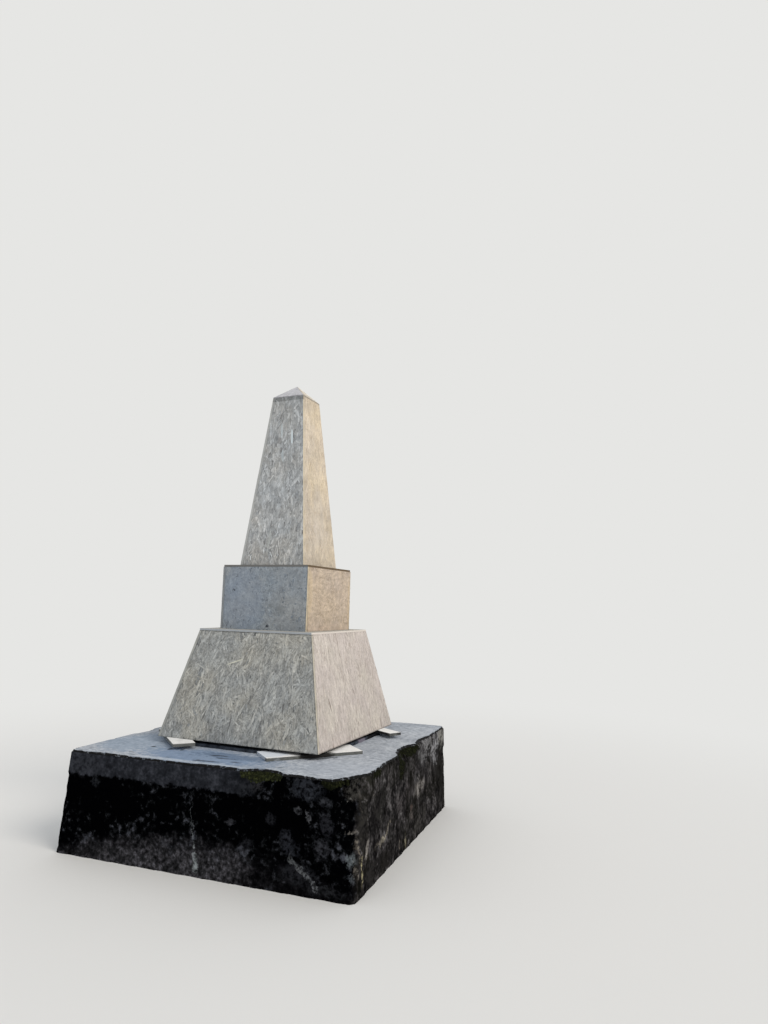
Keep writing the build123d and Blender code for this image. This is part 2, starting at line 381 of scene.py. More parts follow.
def sheet_material(name, face_code, shaded_code, sunned_code):
    """Thin strand board lying flat: its edge takes the painted sun or shade of the side that it looks to.
    """
    material, tree, shader, place = new_material(name, 0.9, 0.2)
    normal = add(tree, "NewGeometry").outputs["True Normal"]
    axes = add(tree, "SeparateXYZ", [normal]).outputs
    sunned = add(tree, "Math.ADD", [axes["X"], axes["Y"]])
    sunned = add(tree, "Math.GREATER_THAN", [sunned, 0.5])
    edge = add(tree, "Mix.RGBA", [sunned, colour(shaded_code), colour(sunned_code)])
    upright = add(tree, "Math.ABSOLUTE", [axes["Z"]])
    flat = add(tree, "Math.GREATER_THAN", [upright, 0.6])
    both = add(tree, "Mix.RGBA", [flat, edge, colour(face_code)])
    layers = stretched_noise(tree, place, (22, 22, 260), 3.0)
    light = add(tree, "MapRange", [layers, 0.3, 0.7, 0.85])
    worn = add(tree, "VectorMath.SCALE", [both, light])
    feed(tree, shader, {"Base Color": worn})
    return material


def in_scene(name, data):
    """Object in the scene that holds a mesh, a lamp or a camera."""
    holder = bpy.data.objects.new(name, data)
    bpy.context.scene.collection.objects.link(holder)
    return holder


def finished_mesh(name, shape):
    """Mesh of a finished bmesh."""
    mesh = bpy.data.meshes.new(name)
    shape.to_mesh(mesh)
    shape.free()
    return mesh


def settle(piece, node=None):
    """Attach a new piece to the root body, and hide the CAD node that it stands for, if any."""
    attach(piece, "root")
    if node:
        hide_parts(node)


def vectors(items, name):
    """One vector of each vertex of a mesh, such as its place, as an array."""
    values = np.empty(len(items) * 3)
    items.foreach_get(name, values)
    return values.reshape(-1, 3)


def store(mesh, name, values):
    """Keep a number of each vertex with the mesh, for a material or a tree to read."""
    mesh.attributes.new(name, "FLOAT", "POINT").data.foreach_set("value", values)


def closed_strip(name, rows, kind):
    """Closed mesh along Y from stations of equal point counts: (x, y, z, -1 to 1 across its width)."""
    shape = bmesh.new()
    uv = shape.loops.layers.uv.new("strand")
    kind_layer = shape.verts.layers.float.new("kind")
    side_layer = shape.verts.layers.float.new("side")
    rings = []
    for row in rows:
        rings.append([shape.verts.new(point[:3]) for point in row])
        for vertex, point in zip(rings[-1], row):
            vertex[kind_layer] = kind
            vertex[side_layer] = point[3]
    count = len(rings[0])
    for near, far in zip(rings, rings[1:]):
        for i in range(count):
            j = (i + 1) % count
            shape.faces.new((near[i], near[j], far[j], far[i]))
    shape.faces.new(rings[0][::-1])
    shape.faces.new(rings[-1])
    bmesh.ops.recalc_face_normals(shape, faces=shape.faces)
    for face in shape.faces:
        for loop in face.loops:
            loop[uv].uv = loop.vert.co[:2]
    return bpy.data.objects.new(name, finished_mesh(name, shape))


def broad_strand(name, dice, lengths, widths, curl):
    """Flat wood flake with slanted ends, a little bent."""
    length, width = dice.uniform(*lengths) * MM, dice.uniform(*widths) * MM
    bend = dice.uniform(-curl, curl) * length
    thickness = 0.7 * MM
    rows = []
    for t in (-0.5, 0.0, 0.5):
        end = abs(t) == 0.5
        half = width / 2 * (dice.uniform(0.35, 0.8) if end else 1.0)
        middle = bend * (1 - 4 * t * t)
        slant = dice.uniform(-0.3, 0.3) * width if end else 0.0
        left, right = middle - half, middle + half
        y_left, y_right = t * length - slant, t * length + slant
        rows.append([
            (left, y_left, 0, -1),
            (right, y_right, 0, 1),
            (right, y_right, thickness, 1),
            (left, y_left, thickness, -1),
        ])
    return closed_strip(name, rows, 0.0)


def sliver(name, dice, lengths, widths, curl, kind):
    """Narrow raised fibre, three-sided in section."""
    length, width = dice.uniform(*lengths) * MM, dice.uniform(*widths) * MM
    bend = dice.uniform(-2 * curl, 2 * curl) * length
    top = 1.2 * MM
    rows = []
    for t in (-0.5, -0.2, 0.2, 0.5):
        half = width / 2 * (0.35 if abs(t) == 0.5 else 1.0)
        middle = bend * (1 - 4 * t * t)
        y = t * length
        rows.append([(middle - half, y, 0, -0.8), (middle + half, y, 0, 0.8), (middle, y, top, 0)])
    return closed_strip(name, rows, kind)


def make_shapes(name, numbers, lengths, widths, sliver_lengths, sliver_widths, curl):
    """Collection of shapes to scatter: broad flakes, pale slivers and dark slivers."""
    dice = random.Random(SEED)
    collection = bpy.data.collections.new(name)
    broad, pale, dark = numbers
    for i in range(broad):
        collection.objects.link(broad_strand(f"{name}_a{i}", dice, lengths, widths, curl))
    for i in range(pale + dark):
        kind = dice.uniform(0.4, 1.0) * (1 if i < pale else -1)
        collection.objects.link(sliver(f"{name}_b{i}", dice, sliver_lengths, sliver_widths, curl, kind))
    return collection


def remove_shapes(collection):
    """Remove a collection of shapes that has been scattered."""
    for shape in list(collection.objects):
        bpy.data.objects.remove(shape)
    bpy.data.collections.remove(collection)


def new_group(name, inputs, result):
    """Geometry Nodes tree with named inputs and one result, and the sockets that give the inputs."""
    tree = bpy.data.node_groups.new(name, "GeometryNodeTree")
    for socket, kind in inputs.items():
        tree.interface.new_socket(socket, in_out="INPUT", socket_type=f"NodeSocket{kind}")
    tree.interface.new_socket(result, in_out="OUTPUT", socket_type="NodeSocketGeometry")
    return tree, add(tree, "NodeGroupInput").outputs


def end_group(tree, instances, material, result):
    """Make a tree's instances real, give them their material, and hand them out."""
    real = add(tree, "GeometryNodeRealizeInstances", {"Geometry": instances})
    finished = add(tree, "GeometryNodeSetMaterial", {"Geometry": real, "Material": material})
    add(tree, "NodeGroupOutput", {result: finished})
    return tree


def strand_tree():
    """Geometry Nodes: scatter shapes over a flat face whose Y runs up the board."""
    inputs = {"Face": "Geometry", "Shapes": "Collection", "Seed": "Int", "Material": "Material"}
    inputs.update(dict.fromkeys(SCATTER_NAMES[1:], "Float"))
    tree, given = new_group("strands on a board", inputs, "Strands")

    def chance(low, high, offset):
        """Random number for each strand; the offset to the seed keeps the draws apart."""
        seed = add(tree, "Math.ADD", [given["Seed"], offset])
        draw = {"Min": low, "Max": high, "Seed": seed}
        return add(tree, "FunctionNodeRandomValue", draw, data_type="FLOAT")

    scatter = {"Mesh": given["Face"], "Density": given["Per m2"], "Seed": given["Seed"]}
    points = add(tree, "GeometryNodeDistributePointsOnFaces", scatter).outputs["Points"]
    pick = {"Collection": given["Shapes"], "Separate Children": True, "Reset Children": True}
    shapes = add(tree, "GeometryNodeCollectionInfo", pick)
    place = add(tree, "GeometryNodeInputPosition")
    flow = add(tree, "TexNoise", [place, 9.0, 2.0])
    swirl = add(tree, "Math.SUBTRACT", [flow, 0.5])
    swirl = add(tree, "Math.MULTIPLY_ADD", [swirl, given["Swirl"], given["Lean"]])
    even = chance(-1.0, 1.0, 11)
    cubed = add(tree, "Math.MULTIPLY", [even, even])
    cubed = add(tree, "Math.MULTIPLY", [cubed, even])
    turn = add(tree, "Math.MULTIPLY_ADD", [cubed, given["Spread"], swirl])
    tilts = [chance(-0.012, 0.012, 23), chance(-0.03, 0.03, 37), turn]
    sizes = [chance(0.7, 1.3, 53), chance(0.7, 1.2, 67), 1.0]
    strands = {
        "Points": points,
        "Instance": shapes,
        "Pick Instance": True,
        "Rotation": add(tree, "CombineXYZ", tilts),
        "Scale": add(tree, "CombineXYZ", sizes),
    }
    strands = add(tree, "GeometryNodeInstanceOnPoints", strands)
    lift = add(tree, "Math.MULTIPLY", [chance(-0.75, 0.15, 71), given["Relief"]])
    lifted = {"Instances": strands, "Translation": add(tree, "CombineXYZ", {"Z": lift})}
    lifted = add(tree, "GeometryNodeTranslateInstances", lifted)
    shade = {"Geometry": lifted, "Name": "shade", "Value": chance(0.0, 1.0, 83)}
    shaded = add(tree, "GeometryNodeStoreNamedAttribute", shade, data_type="FLOAT", domain="INSTANCE")
    return end_group(tree, shaded, given["Material"], "Strands")


def face_frame(node, outward):
    """Frame and convex outline of the largest flat face of a CAD node that looks outwards."""
    mesh = frame["nodes"][node].data
    groups = {}
    for polygon in mesh.polygons:
        if polygon.normal.dot(outward) > 0.5:
            key = tuple(round(c, 2) for c in polygon.normal)
            groups.setdefault(key, []).append(polygon)
    faces = max(groups.values(), key=lambda group: sum(p.area for p in group))
    normal = faces[0].normal.copy()
    up = Vector((0, 0, 1))
    y_axis = (up - normal * up.dot(normal)).normalized()
    x_axis = y_axis.cross(normal)
    corners = [mesh.vertices[i].co for p in faces for i in p.vertices]
    to_world = Matrix((x_axis, y_axis, normal)).transposed().to_4x4()
    to_world.translation = corners[0]
    flat = {tuple(round(c, 6) for c in (to_world.inverted() @ c)[:2]) for c in corners}
    return to_world, convex_outline(sorted(flat))


def convex_outline(points):
    """Convex outline of flat points, counterclockwise."""
    def half(sequence):
        chain = []
        for p in sequence:
            while len(chain) > 1:
                (ax, ay), (bx, by) = chain[-2], chain[-1]
                if (bx - ax) * (p[1] - ay) - (by - ay) * (p[0] - ax) > 1e-9:
                    break
                chain.pop()
            chain.append(p)
        return chain[:-1]

    return half(points) + half(points[::-1])


def trim_to_outline(places, outline, inset):
    """Push flat points back onto an outline, and give their distances to its upright sides."""
    far_away = 10.0
    rim = np.full(len(places), far_away)
    for (ax, ay), (bx, by) in zip(outline, outline[1:] + outline[:1]):
        length = math.hypot(bx - ax, by - ay)
        inward = np.array([-(by - ay), bx - ax]) / length
        beyond = inset - ((places[:, :2] - (ax, ay)) @ inward)
        places[:, :2] += np.maximum(beyond, 0)[:, None] * inward
        if abs(by - ay) > abs(bx - ax):
            rim = np.minimum(rim, (places[:, :2] - (ax, ay)) @ inward)
    return places, rim


def evaluated_copy(source, name):
    """Plain mesh object of a finished modifier stack; the source is removed."""
    bpy.context.view_layer.update()
    graph = bpy.context.evaluated_depsgraph_get()
    mesh = bpy.data.meshes.new_from_object(source.evaluated_get(graph))
    bpy.data.objects.remove(source)
    mesh.name = name
    return in_scene(name, mesh)


def grow(source, tree, values, name):
    """Run a Geometry Nodes tree on an object, its inputs found by their sockets' identifiers."""
    modifier = source.modifiers.new("grow", "NODES")
    modifier.node_group = tree
    for item in tree.interface.items_tree:
        if item.item_type == "SOCKET" and item.in_out == "INPUT" and item.name in values:
            modifier[item.identifier] = values[item.name]
    return evaluated_copy(source, name)


def strands_on(node, outward, values):
    """Strands over one face of a board, trimmed to it and kept under the object's top."""
    to_world, outline = face_frame(node, outward)
    flat = bpy.data.meshes.new(f"{node}_face")
    flat.from_pydata([(x, y, 0) for x, y in outline], [], [range(len(outline))])
    piece = grow(in_scene(flat.name, flat), STRAND_TREE, values, f"{node}_strands")
    mesh = piece.data
    places, rim = trim_to_outline(vectors(mesh.vertices, "co"), outline, 1.0 * MM)
    mesh.vertices.foreach_set("co", places.ravel())
    store(mesh, "rim", rim)
    mesh.transform(to_world)
    places = vectors(mesh.vertices, "co")
    places[:, 2] = np.minimum(places[:, 2], cad_box[1][2])
    mesh.vertices.foreach_set("co", places.ravel())
    mesh.update()
    settle(piece)


def dress(node, material):
    """Give a CAD node its material."""
    slots = frame["nodes"][node].data.materials
    slots.clear()
    slots.append(material)


LONG = make_shapes("strand", (12, 4, 7), (50, 130), (9, 26), (22, 80), (2.4, 4.8), 0.08)
STRAIGHT = make_shapes("splint", (12, 3, 6), (60, 150), (6, 16), (26, 70), (2.2, 4.4), 0.02)
CHIPS = make_shapes("chip", (11, 4, 5), (34, 100), (10, 28), (24, 76), (2.6, 5.2), 0.06)
CURLS = make_shapes("curl", (12, 5, 5), (60, 150), (12, 30), (40, 130), (3.4, 7.4), 0.12)
WAVES = make_shapes("wave", (13, 5, 5), (50, 125), (14, 34), (36, 96), (4.0, 8.6), 0.13)

# Scatter of each tier and light, under the names of the strand tree's inputs
SCATTER_NAMES = ("Shapes", "Per m2", "Lean", "Swirl", "Spread", "Relief")
SCATTER = {
    ("plinth", "shaded"): (LONG, 4800.0, -0.08, 3.1, 1.15, 0.9 * MM),
    ("plinth", "sunned"): (STRAIGHT, 4800.0, 0.0, 1.2, 0.5, 0.5 * MM),
    ("die", "shaded"): (CHIPS, 5600.0, 0.0, 8.0, 2.4, 0.5 * MM),
    ("die", "sunned"): (CURLS, 5600.0, 1.5, 6.0, 1.6, 0.5 * MM),
    ("shaft", "shaded"): (WAVES, 3200.0, -0.03, 2.3, 0.85, 0.7 * MM),
    ("shaft", "sunned"): (STRAIGHT, 5000.0, 0.0, 2.0, 0.7, 0.5 * MM),
    ("cap", "shaded"): (CHIPS, 5000.0, 0.0, 2.0, 1.2, 0.4 * MM),
    ("cap", "sunned"): (CHIPS, 5000.0, 0.0, 2.0, 1.2, 0.4 * MM),
}
STRAND_TREE = strand_tree()


def clad_tower():
    """Materials and strands for every board of the tower."""
    seed = SEED
    for tier in TIERS:
        for side, facing in FACING.items():
            seed += 1
            node = f"{tier}_{side}_board"
            angle = math.radians(facing)
            outward = Vector((math.cos(angle), math.sin(angle), 0.2)).normalized()
            dress(node, board_material(tier, side))
            values = dict(zip(SCATTER_NAMES, SCATTER[tier, LIGHT[side]]))
            values.update({"Seed": seed, "Material": strand_material(tier, side)})
            strands_on(node, outward, values)
    # Painted light: the deck's and the lid's edges take a sunned and a shaded colour; the lid's are
    # darker still, painted shadow of the joint at the shaft's foot
    dress("plinth_deck", sheet_material("weathered strand board, deck", "#b6b3ab", "#acb1b5", "#e2dad1"))
    dress("die_lid", sheet_material("weathered strand board, lid", "#909292", "#787774", "#6d5d49"))
    for shapes in (LONG, STRAIGHT, CHIPS, CURLS, WAVES):
        remove_shapes(shapes)


clad_tower()


# The block, its screed and the mortar bed
def own_axes(place):
    """World place to the block's own axes: across, inwards from its front."""
    x, y = place[0] - BLOCK_CENTRE.x, place[1] - BLOCK_CENTRE.y
    c, s = math.cos(BLOCK_TURN), math.sin(BLOCK_TURN)
    return x * c + y * s, -x * s + y * c


def fractal(place, size, octaves, offset=(0, 0, 0)):
    """Fractal noise from about -1 to 1, its features of the given size in metres."""
    return noise.fractal((place + Vector(offset)) / size, 1.0, 2.0, octaves)


def welded(node):
    """The mesh of a CAD node with its loose triangles joined, as a bmesh."""
    shape = bmesh.new()
    shape.from_mesh(frame["nodes"][node].data)
    bmesh.ops.remove_doubles(shape, verts=shape.verts, dist=0.01 * MM)
    return shape


# Cushions of moss on the block: side, middle along the side and height, half sizes
MOSS = [
    ("front", (415, 614), (118, 40)),
    ("front", (850, 612), (50, 28)),
    ("front", (960, 606), (46, 22)),
    ("right", (-160, 572), (48, 96)),
    ("right", (100, 606), (150, 30)),
    ("right", (-640, 612), (60, 24)),
    ("left", (180, 612), (90, 34)),
    ("back", (-300, 612), (100, 34)),
]


def mossiness(place):
    """How much moss grows at a place on the block, 0 to 1."""
    across, inwards = own_axes(place)
    on_side = {"front": inwards < -0.9, "back": inwards > 0.9}
    on_side.update({"left": across < -0.9, "right": across > 0.85})
    ragged = 0.35 * fractal(place, 0.05, 3)
    best = 0.0
    for side, (middle, height), (half_length, half_height) in MOSS:
        if not on_side[side]:
            continue
        along = across if side in ("front", "back") else inwards
        out = math.hypot((along / MM - middle) / half_length, (place.z / MM - height) / half_height)
        best = max(best, min(1.0, max(0.0, (1.15 + ragged - out) / 0.3)))
    return best


def rough_block():
    """The block's surface: broad swells, lumps of old aggregate, pits and a smoother upper band."""
    source = in_scene("base_block_welded", finished_mesh("base_block_welded", welded("base_block")))
    remesh = source.modifiers.new("fine faces", "REMESH")
    remesh.mode = "VOXEL"
    remesh.voxel_size = 9.0 * MM
    piece = evaluated_copy(source, "base_block_surface")
    mesh = piece.data
    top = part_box("base_block")[1][2]
    smooth_band = 125 * MM
    places = vectors(mesh.vertices, "co")
    normals = vectors(mesh.vertex_normals, "vector")
    moss = np.zeros(len(places))
    for i in range(len(places)):
        if abs(normals[i][2]) > 0.9 and (places[i][2] > top - 2 * MM or places[i][2] < 2 * MM):
            continue
        p = Vector(places[i])
        band_edge = top - smooth_band + 25 * MM * fractal(p, 0.2, 3, (5, 5, 0))
        below = min(1.0, max(0.0, (band_edge - p.z) / (10 * MM)))
        swell = 0.5 + 0.5 * fractal(p, 0.42, 2)
        lumps = 0.5 + 0.5 * fractal(p, 0.07, 3, (3, 7, 1))
        grit = 0.5 + 0.5 * fractal(p, 0.022, 2, (9, 2, 5))
        pit = max(0.0, fractal(p, 0.05, 2, (1, 8, 4)) - 0.3)

        # Depth in millimetres, most of it below the smoother band
        depth = 2.5 * swell + (1 + 4 * below) * lumps + (0.8 + 1.6 * below) * grit
        depth += 16 * pit * below + 2.5 * below
        normal = Vector(normals[i])
        if p.z < 3 * MM:
            normal.z = 0
        if p.z > top - 8 * MM:
            normal.z = min(normal.z, 0)
        moss[i] = mossiness(p)
        places[i] = p - normal * depth * MM
    places[:, 2] = np.clip(places[:, 2], 0, top)
    mesh.vertices.foreach_set("co", places.ravel())
    store(mesh, "moss", moss)
    mesh.update()
    join_flat_regions(mesh, {0.0: 0.06, top: 0.14})
    mesh.polygons.foreach_set("use_smooth", [True] * len(mesh.polygons))
    mesh.materials.clear()
    mesh.materials.append(rough_concrete())
    settle(piece, "base_block")
    return piece


def join_flat_regions(mesh, borders):
    """Turn the flat faces at each level, a border's width in from the block's sides, into one face."""
    half_width = 1.0
    shape = bmesh.new()
    shape.from_mesh(mesh)
    for level, border in borders.items():
        chosen = []
        for face in shape.faces:
            across, inwards = own_axes(face.calc_center_median())
            inside = max(abs(across), abs(inwards)) < half_width - border
            if inside and all(abs(v.co.z - level) < 0.2 * MM for v in face.verts):
                chosen.append(face)
        bmesh.ops.dissolve_faces(shape, faces=chosen, use_verts=False)
    shape.to_mesh(mesh)
    shape.free()


# Marks on the block in its own axes: middle along the side and height, half sizes, lean, colour
# and strength. They are lime runs, worn pale patches, dark growth and single light flecks.
FRONT_MARKS = [
    ((-900, 560), (170, 80), 0.0, "#36383d", 0.7),
    ((698, 563), (105, 62), 0.0, "#33363c", 0.85),
    ((-764, 462), (30, 44), 0.1, "#2a2c30", 0.8),
    ((-40, 330), (4, 70), 0.02, "#5b5f62", 0.85),
    ((-25, 225), (5, 70), 0.12, "#73777a", 0.9),
    ((-8, 130), (8, 60), 0.12, "#83878a", 0.95),
    ((8, 62), (24, 46), 0.06, "#8f9698", 0.95),
    ((227, 334), (36, 18), 0.1, "#404146", 0.8),
    ((717, 415), (12, 38), 0.3, "#5a5b5f", 0.9),
    ((654, 445), (22, 20), 0.2, "#4a4b4f", 0.85),
    ((586, 281), (44, 60), 0.2, "#303238", 0.8),
    ((632, 234), (50, 44), 0.4, "#2e3036", 0.75),
    ((812, 262), (46, 54), 0.2, "#3a3b40", 0.9),
    ((834, 385), (40, 62), 0.3, "#2e2f34", 0.75),
    ((824, 507), (36, 34), 0.2, "#3a3c41", 0.85),
    ((486, 377), (30, 30), 0.0, "#25262a", 0.8),
    ((333, 222), (46, 40), 0.0, "#26272b", 0.75),
    ((315, 520), (60, 40), 0.0, "#2b2d31", 0.8),
    ((379, 556), (40, 40), 0.0, "#333336", 0.7),
    ((640, 165), (14, 44), 1.1, "#5d6062", 0.85),
    ((698, 128), (13, 40), 0.9, "#94979a", 1.0),
    ((728, 98), (11, 24), 0.9, "#7d8084", 0.9),
    ((775, 62), (12, 32), 0.8, "#8f9296", 1.0),
    ((670, 110), (120, 60), 0.0, "#2a2b2f", 0.75),
    ((830, 45), (150, 24), 0.0, "#2a2b2e", 0.75),
    ((955, 560), (50, 60), 0.0, "#43423f", 0.8),
    ((930, 508), (17, 7), 0.1, "#858380", 0.8),
    ((975, 345), (36, 9), -0.2, "#66625e", 0.9),
    ((976, 214), (17, 38), 0.1, "#5f666a", 0.9),
    ((986, 128), (12, 36), 0.0, "#4c5156", 0.85),
]
RIGHT_MARKS = [
    ((-514, 75), (190, 70), 0.0, "#141211", 0.85),
    ((-617, 400), (190, 110), 0.5, "#12130e", 0.85),
    ((-850, 350), (70, 250), 0.05, "#131309", 0.8),
    ((-740, 590), (70, 40), 0.0, "#15170d", 0.8),
    ((-170, 560), (80, 110), 0.0, "#14170c", 0.9),
    ((820, 250), (170, 260), 0.1, "#131310", 0.9),
    ((-760, 60), (110, 90), 0.0, "#151412", 0.85),
    ((-300, 120), (260, 60), 0.3, "#1a1817", 0.6),
    ((430, 550), (200, 110), 0.0, "#868688", 0.85),
    ((690, 510), (120, 130), 0.0, "#a4a4a8", 0.8),
    ((860, 560), (90, 100), 0.0, "#9c9b96", 0.8),
    ((250, 420), (130, 60), 0.1, "#525053", 0.7),
    ((524, 344), (60, 70), 0.0, "#575555", 0.7),
    ((-60, 330), (200, 70), 0.3, "#444041", 0.65),
    ((-216, 347), (60, 50), 0.0, "#524e4f", 0.7),
    ((269, 90), (200, 60), 0.3, "#454340", 0.7),
    ((70, 190), (60, 50), 0.0, "#605a57", 0.8),
    ((62, 226), (24, 12), 0.0, "#5d4a42", 0.7),
    ((270, 312), (150, 52), 0.1, "#8f8b87", 0.65),
    ((-640, 200), (60, 12), 0.1, "#8d877c", 0.85),
    ((-540, 195), (60, 22), 0.15, "#a9a292", 0.9),
    ((-445, 232), (66, 9), 0.7, "#999183", 0.9),
    ((-815, 225), (18, 60), -0.55, "#948f8a", 0.85),
    ((-218, 62), (16, 34), 0.1, "#9b9186", 0.85),
    ((-87, 50), (20, 40), 0.1, "#8f8974", 0.85),
    ((-890, 135), (12, 84), 0.03, "#cdc39c", 1.0),
    ((-930, 300), (8, 120), 0.1, "#8b8378", 0.8),
    ((-960, 160), (9, 110), 0.1, "#8b857c", 0.85),
    ((-858, 506), (10, 90), 0.0, "#514d48", 0.7),
    ((-708, 514), (14, 44), 0.0, "#6a6663", 0.8),
    ((-432, 520), (30, 70), 0.0, "#4a4746", 0.7),
    ((445, 235), (16, 50), 0.1, "#706c69", 0.8),
    ((250, 389), (26, 22), 0.2, "#858381", 0.8),
]

# Zones of the front where its grey flecks are more or fewer: middle, half sizes and how many more
FLECK_ZONES = [
    ((720, 200), (300, 200), 0.02),
    ((40, 150), (330, 110), 0.05),
    ((430, 390), (330, 110), -0.1),
    ((-720, 380), (330, 120), -0.07),
]


def rough_concrete():
    """Old concrete under a black crust: no gloss, porous, with grit, lime runs and dark growth."""
    material, tree, shader, place = new_material("old weathered concrete with a black crust", 1.0, 0.0)
    own = add(tree, "Mapping.TEXTURE", {"Vector": place, **BLOCK_AXES})
    axes = add(tree, "SeparateXYZ", [own]).outputs
    across, inwards, height = axes["X"], axes["Y"], axes["Z"]
    broad = add(tree, "TexNoise", [own, 3.5, 3.0])
    middle = add(tree, "TexNoise", [own, 15.0, 6.0, 0.65])
    fine = add(tree, "TexNoise", [own, 42.0, 5.0, 0.6])
    ragged = add(tree, "Math.MULTIPLY_ADD", [middle, 1.6, -0.8])

    # Marks follow a surface pulled about by a few centimetres, with holes and frayed rims
    pull = add(tree, "TexNoise", [own, 18.0, 5.0, 0.7]).outputs["Color"]
    pull = add(tree, "VectorMath.SUBTRACT", [pull, (0.5, 0.5, 0.5)])
    pulled = add(tree, "VectorMath.MULTIPLY_ADD", [pull, (0.1, 0.1, 0.1), own])
    pulled = add(tree, "SeparateXYZ", [pulled]).outputs
    front_flat = add(tree, "CombineXYZ", [pulled["X"], pulled["Z"]])
    right_flat = add(tree, "CombineXYZ", [pulled["Y"], pulled["Z"]])
    frayed = add(tree, "Math.MULTIPLY_ADD", [fine, 2.6, -1.3])
    patchy = add(tree, "MapRange", [fine, 0.4, 0.6, 0.05])

    # Shaded sides: a black crust with clumps of grey flecks, more of them low down near the corner
    clumps = add(tree, "TexNoise", [own, 7.0, 2.0])
    flecks = add(tree, "TexNoise", [own, 28.0, 6.0, 0.68])
    flecks = add(tree, "Math.MULTIPLY_ADD", [clumps, 0.5, flecks])
    for centre, half, more in FLECK_ZONES:
        zone = oval(tree, front_flat, ragged, centre, half)
        flecks = add(tree, "Math.MULTIPLY_ADD", [zone, more, flecks])
    flecks = add(tree, "Math.DIVIDE", [flecks, 1.5])
    crust_stops = [(0.52, "#020203"), (0.55, "#090a0b"), (0.59, "#1c1d20"), (0.66, "#44464d")]
    crust = add(tree, "ValToRGB", [flecks], crust_stops)

    # A smoother, greyer band along the top of the shaded sides, with a clear lower edge
    wavy = add(tree, "Math.MULTIPLY_ADD", [ragged, 0.06, height])
    above = add(tree, "MapRange.SMOOTHSTEP", [wavy, 0.486, 0.502])
    ends = add(tree, "MapRange", [across, 0.15, 0.4, 1.0, 0.0])
    band = add(tree, "Math.MULTIPLY", [above, ends])
    smooth = add(tree, "Mix.FLOAT", [0.6, fine, middle])
    grey = add(tree, "ValToRGB", [smooth], [(0.34, "#101114"), (0.5, "#26282d"), (0.66, "#43454c")])
    shaded = add(tree, "Mix.RGBA", [band, crust, grey])

    # Splashed, lighter foot: highest about the middle of the side
    square = add(tree, "Math.MULTIPLY", [across, across])
    arch = add(tree, "Math.MULTIPLY_ADD", [square, 0.18, height])
    arch = add(tree, "Math.MULTIPLY_ADD", [ragged, 0.16, arch])
    foot = add(tree, "MapRange.SMOOTHSTEP", [arch, 0.07, 0.25, 1.0, 0.0])
    foot_end = add(tree, "MapRange", [across, 0.26, 0.42, 1.0, 0.12])
    foot = add(tree, "Math.MULTIPLY", [foot, foot_end])
    foot_stops = [(0.36, "#0f0f10"), (0.48, "#28282a"), (0.58, "#464549"), (0.7, "#6f6e76")]
    foot_noise = add(tree, "Mix.FLOAT", [0.2, fine, flecks])
    foot_grey = add(tree, "ValToRGB", [foot_noise], foot_stops)
    shaded = add(tree, "Mix.RGBA", [foot, shaded, foot_grey])
    on_front = add(tree, "Math.LESS_THAN", [inwards, -0.8])
    shown = add(tree, "Math.MULTIPLY", [on_front, patchy])
    shaded = paint_ovals(tree, shaded, front_flat, frayed, shown, FRONT_MARKS)

    # Sunned sides: grey-brown with steep streaks, dark olive where growth holds the wet
    streaks = stretched_noise(tree, own, (11, 11, 8), 5.0, 0.62, 2.0, 0.8)
    streaks = add(tree, "Mix.FLOAT", [0.42, streaks, fine])
    streak_stops = [(0.37, "#0a0a0a"), (0.45, "#1a191a"), (0.5, "#292828")]
    streak_stops += [(0.56, "#403e3f"), (0.64, "#666465")]
    bare = add(tree, "ValToRGB", [streaks], streak_stops)
    growth = add(tree, "MapRange", [broad, 0.48, 0.6, 0.0, 0.35])
    sunned = add(tree, "Mix.RGBA", [growth, bare, colour("#16160f")])
    on_right = add(tree, "Math.GREATER_THAN", [across, 0.8])
    shown = add(tree, "MapRange", [streaks, 0.46, 0.6, 0.06])
    shown = add(tree, "Math.MULTIPLY", [on_right, shown])
    sunned = paint_ovals(tree, sunned, right_flat, frayed, shown, RIGHT_MARKS)
    beyond = add(tree, "Math.MAXIMUM", [across, inwards])
    beyond = add(tree, "MapRange", [beyond, 0.9, 0.96])

    # The black crust turns the near corner, farther round it towards the top
    corner = add(tree, "Math.MULTIPLY_ADD", [height, -0.3, inwards])
    corner = add(tree, "Math.MULTIPLY_ADD", [ragged, 0.06, corner])
    corner = add(tree, "MapRange", [corner, -1.02, -0.985])
    sun_side = add(tree, "Math.MULTIPLY", [beyond, corner])
    wall = add(tree, "Mix.RGBA", [sun_side, shaded, sunned])

    # Moss: dark olive under and between the tufts
    moss = add(tree, "Attribute.moss").outputs["Fac"]
    olive = add(tree, "ValToRGB", [fine], [(0.35, "#0f120a"), (0.65, "#2a2d18")])
    wall = add(tree, "Mix.RGBA", [moss, wall, olive])
    grain = add(tree, "Math.ADD", [fine, middle])
    bump = add(tree, "Bump", {"Strength": 0.8, "Distance": 4 * MM, "Height": grain})
    feed(tree, shader, {"Base Color": wall, "Normal": bump})
    return material


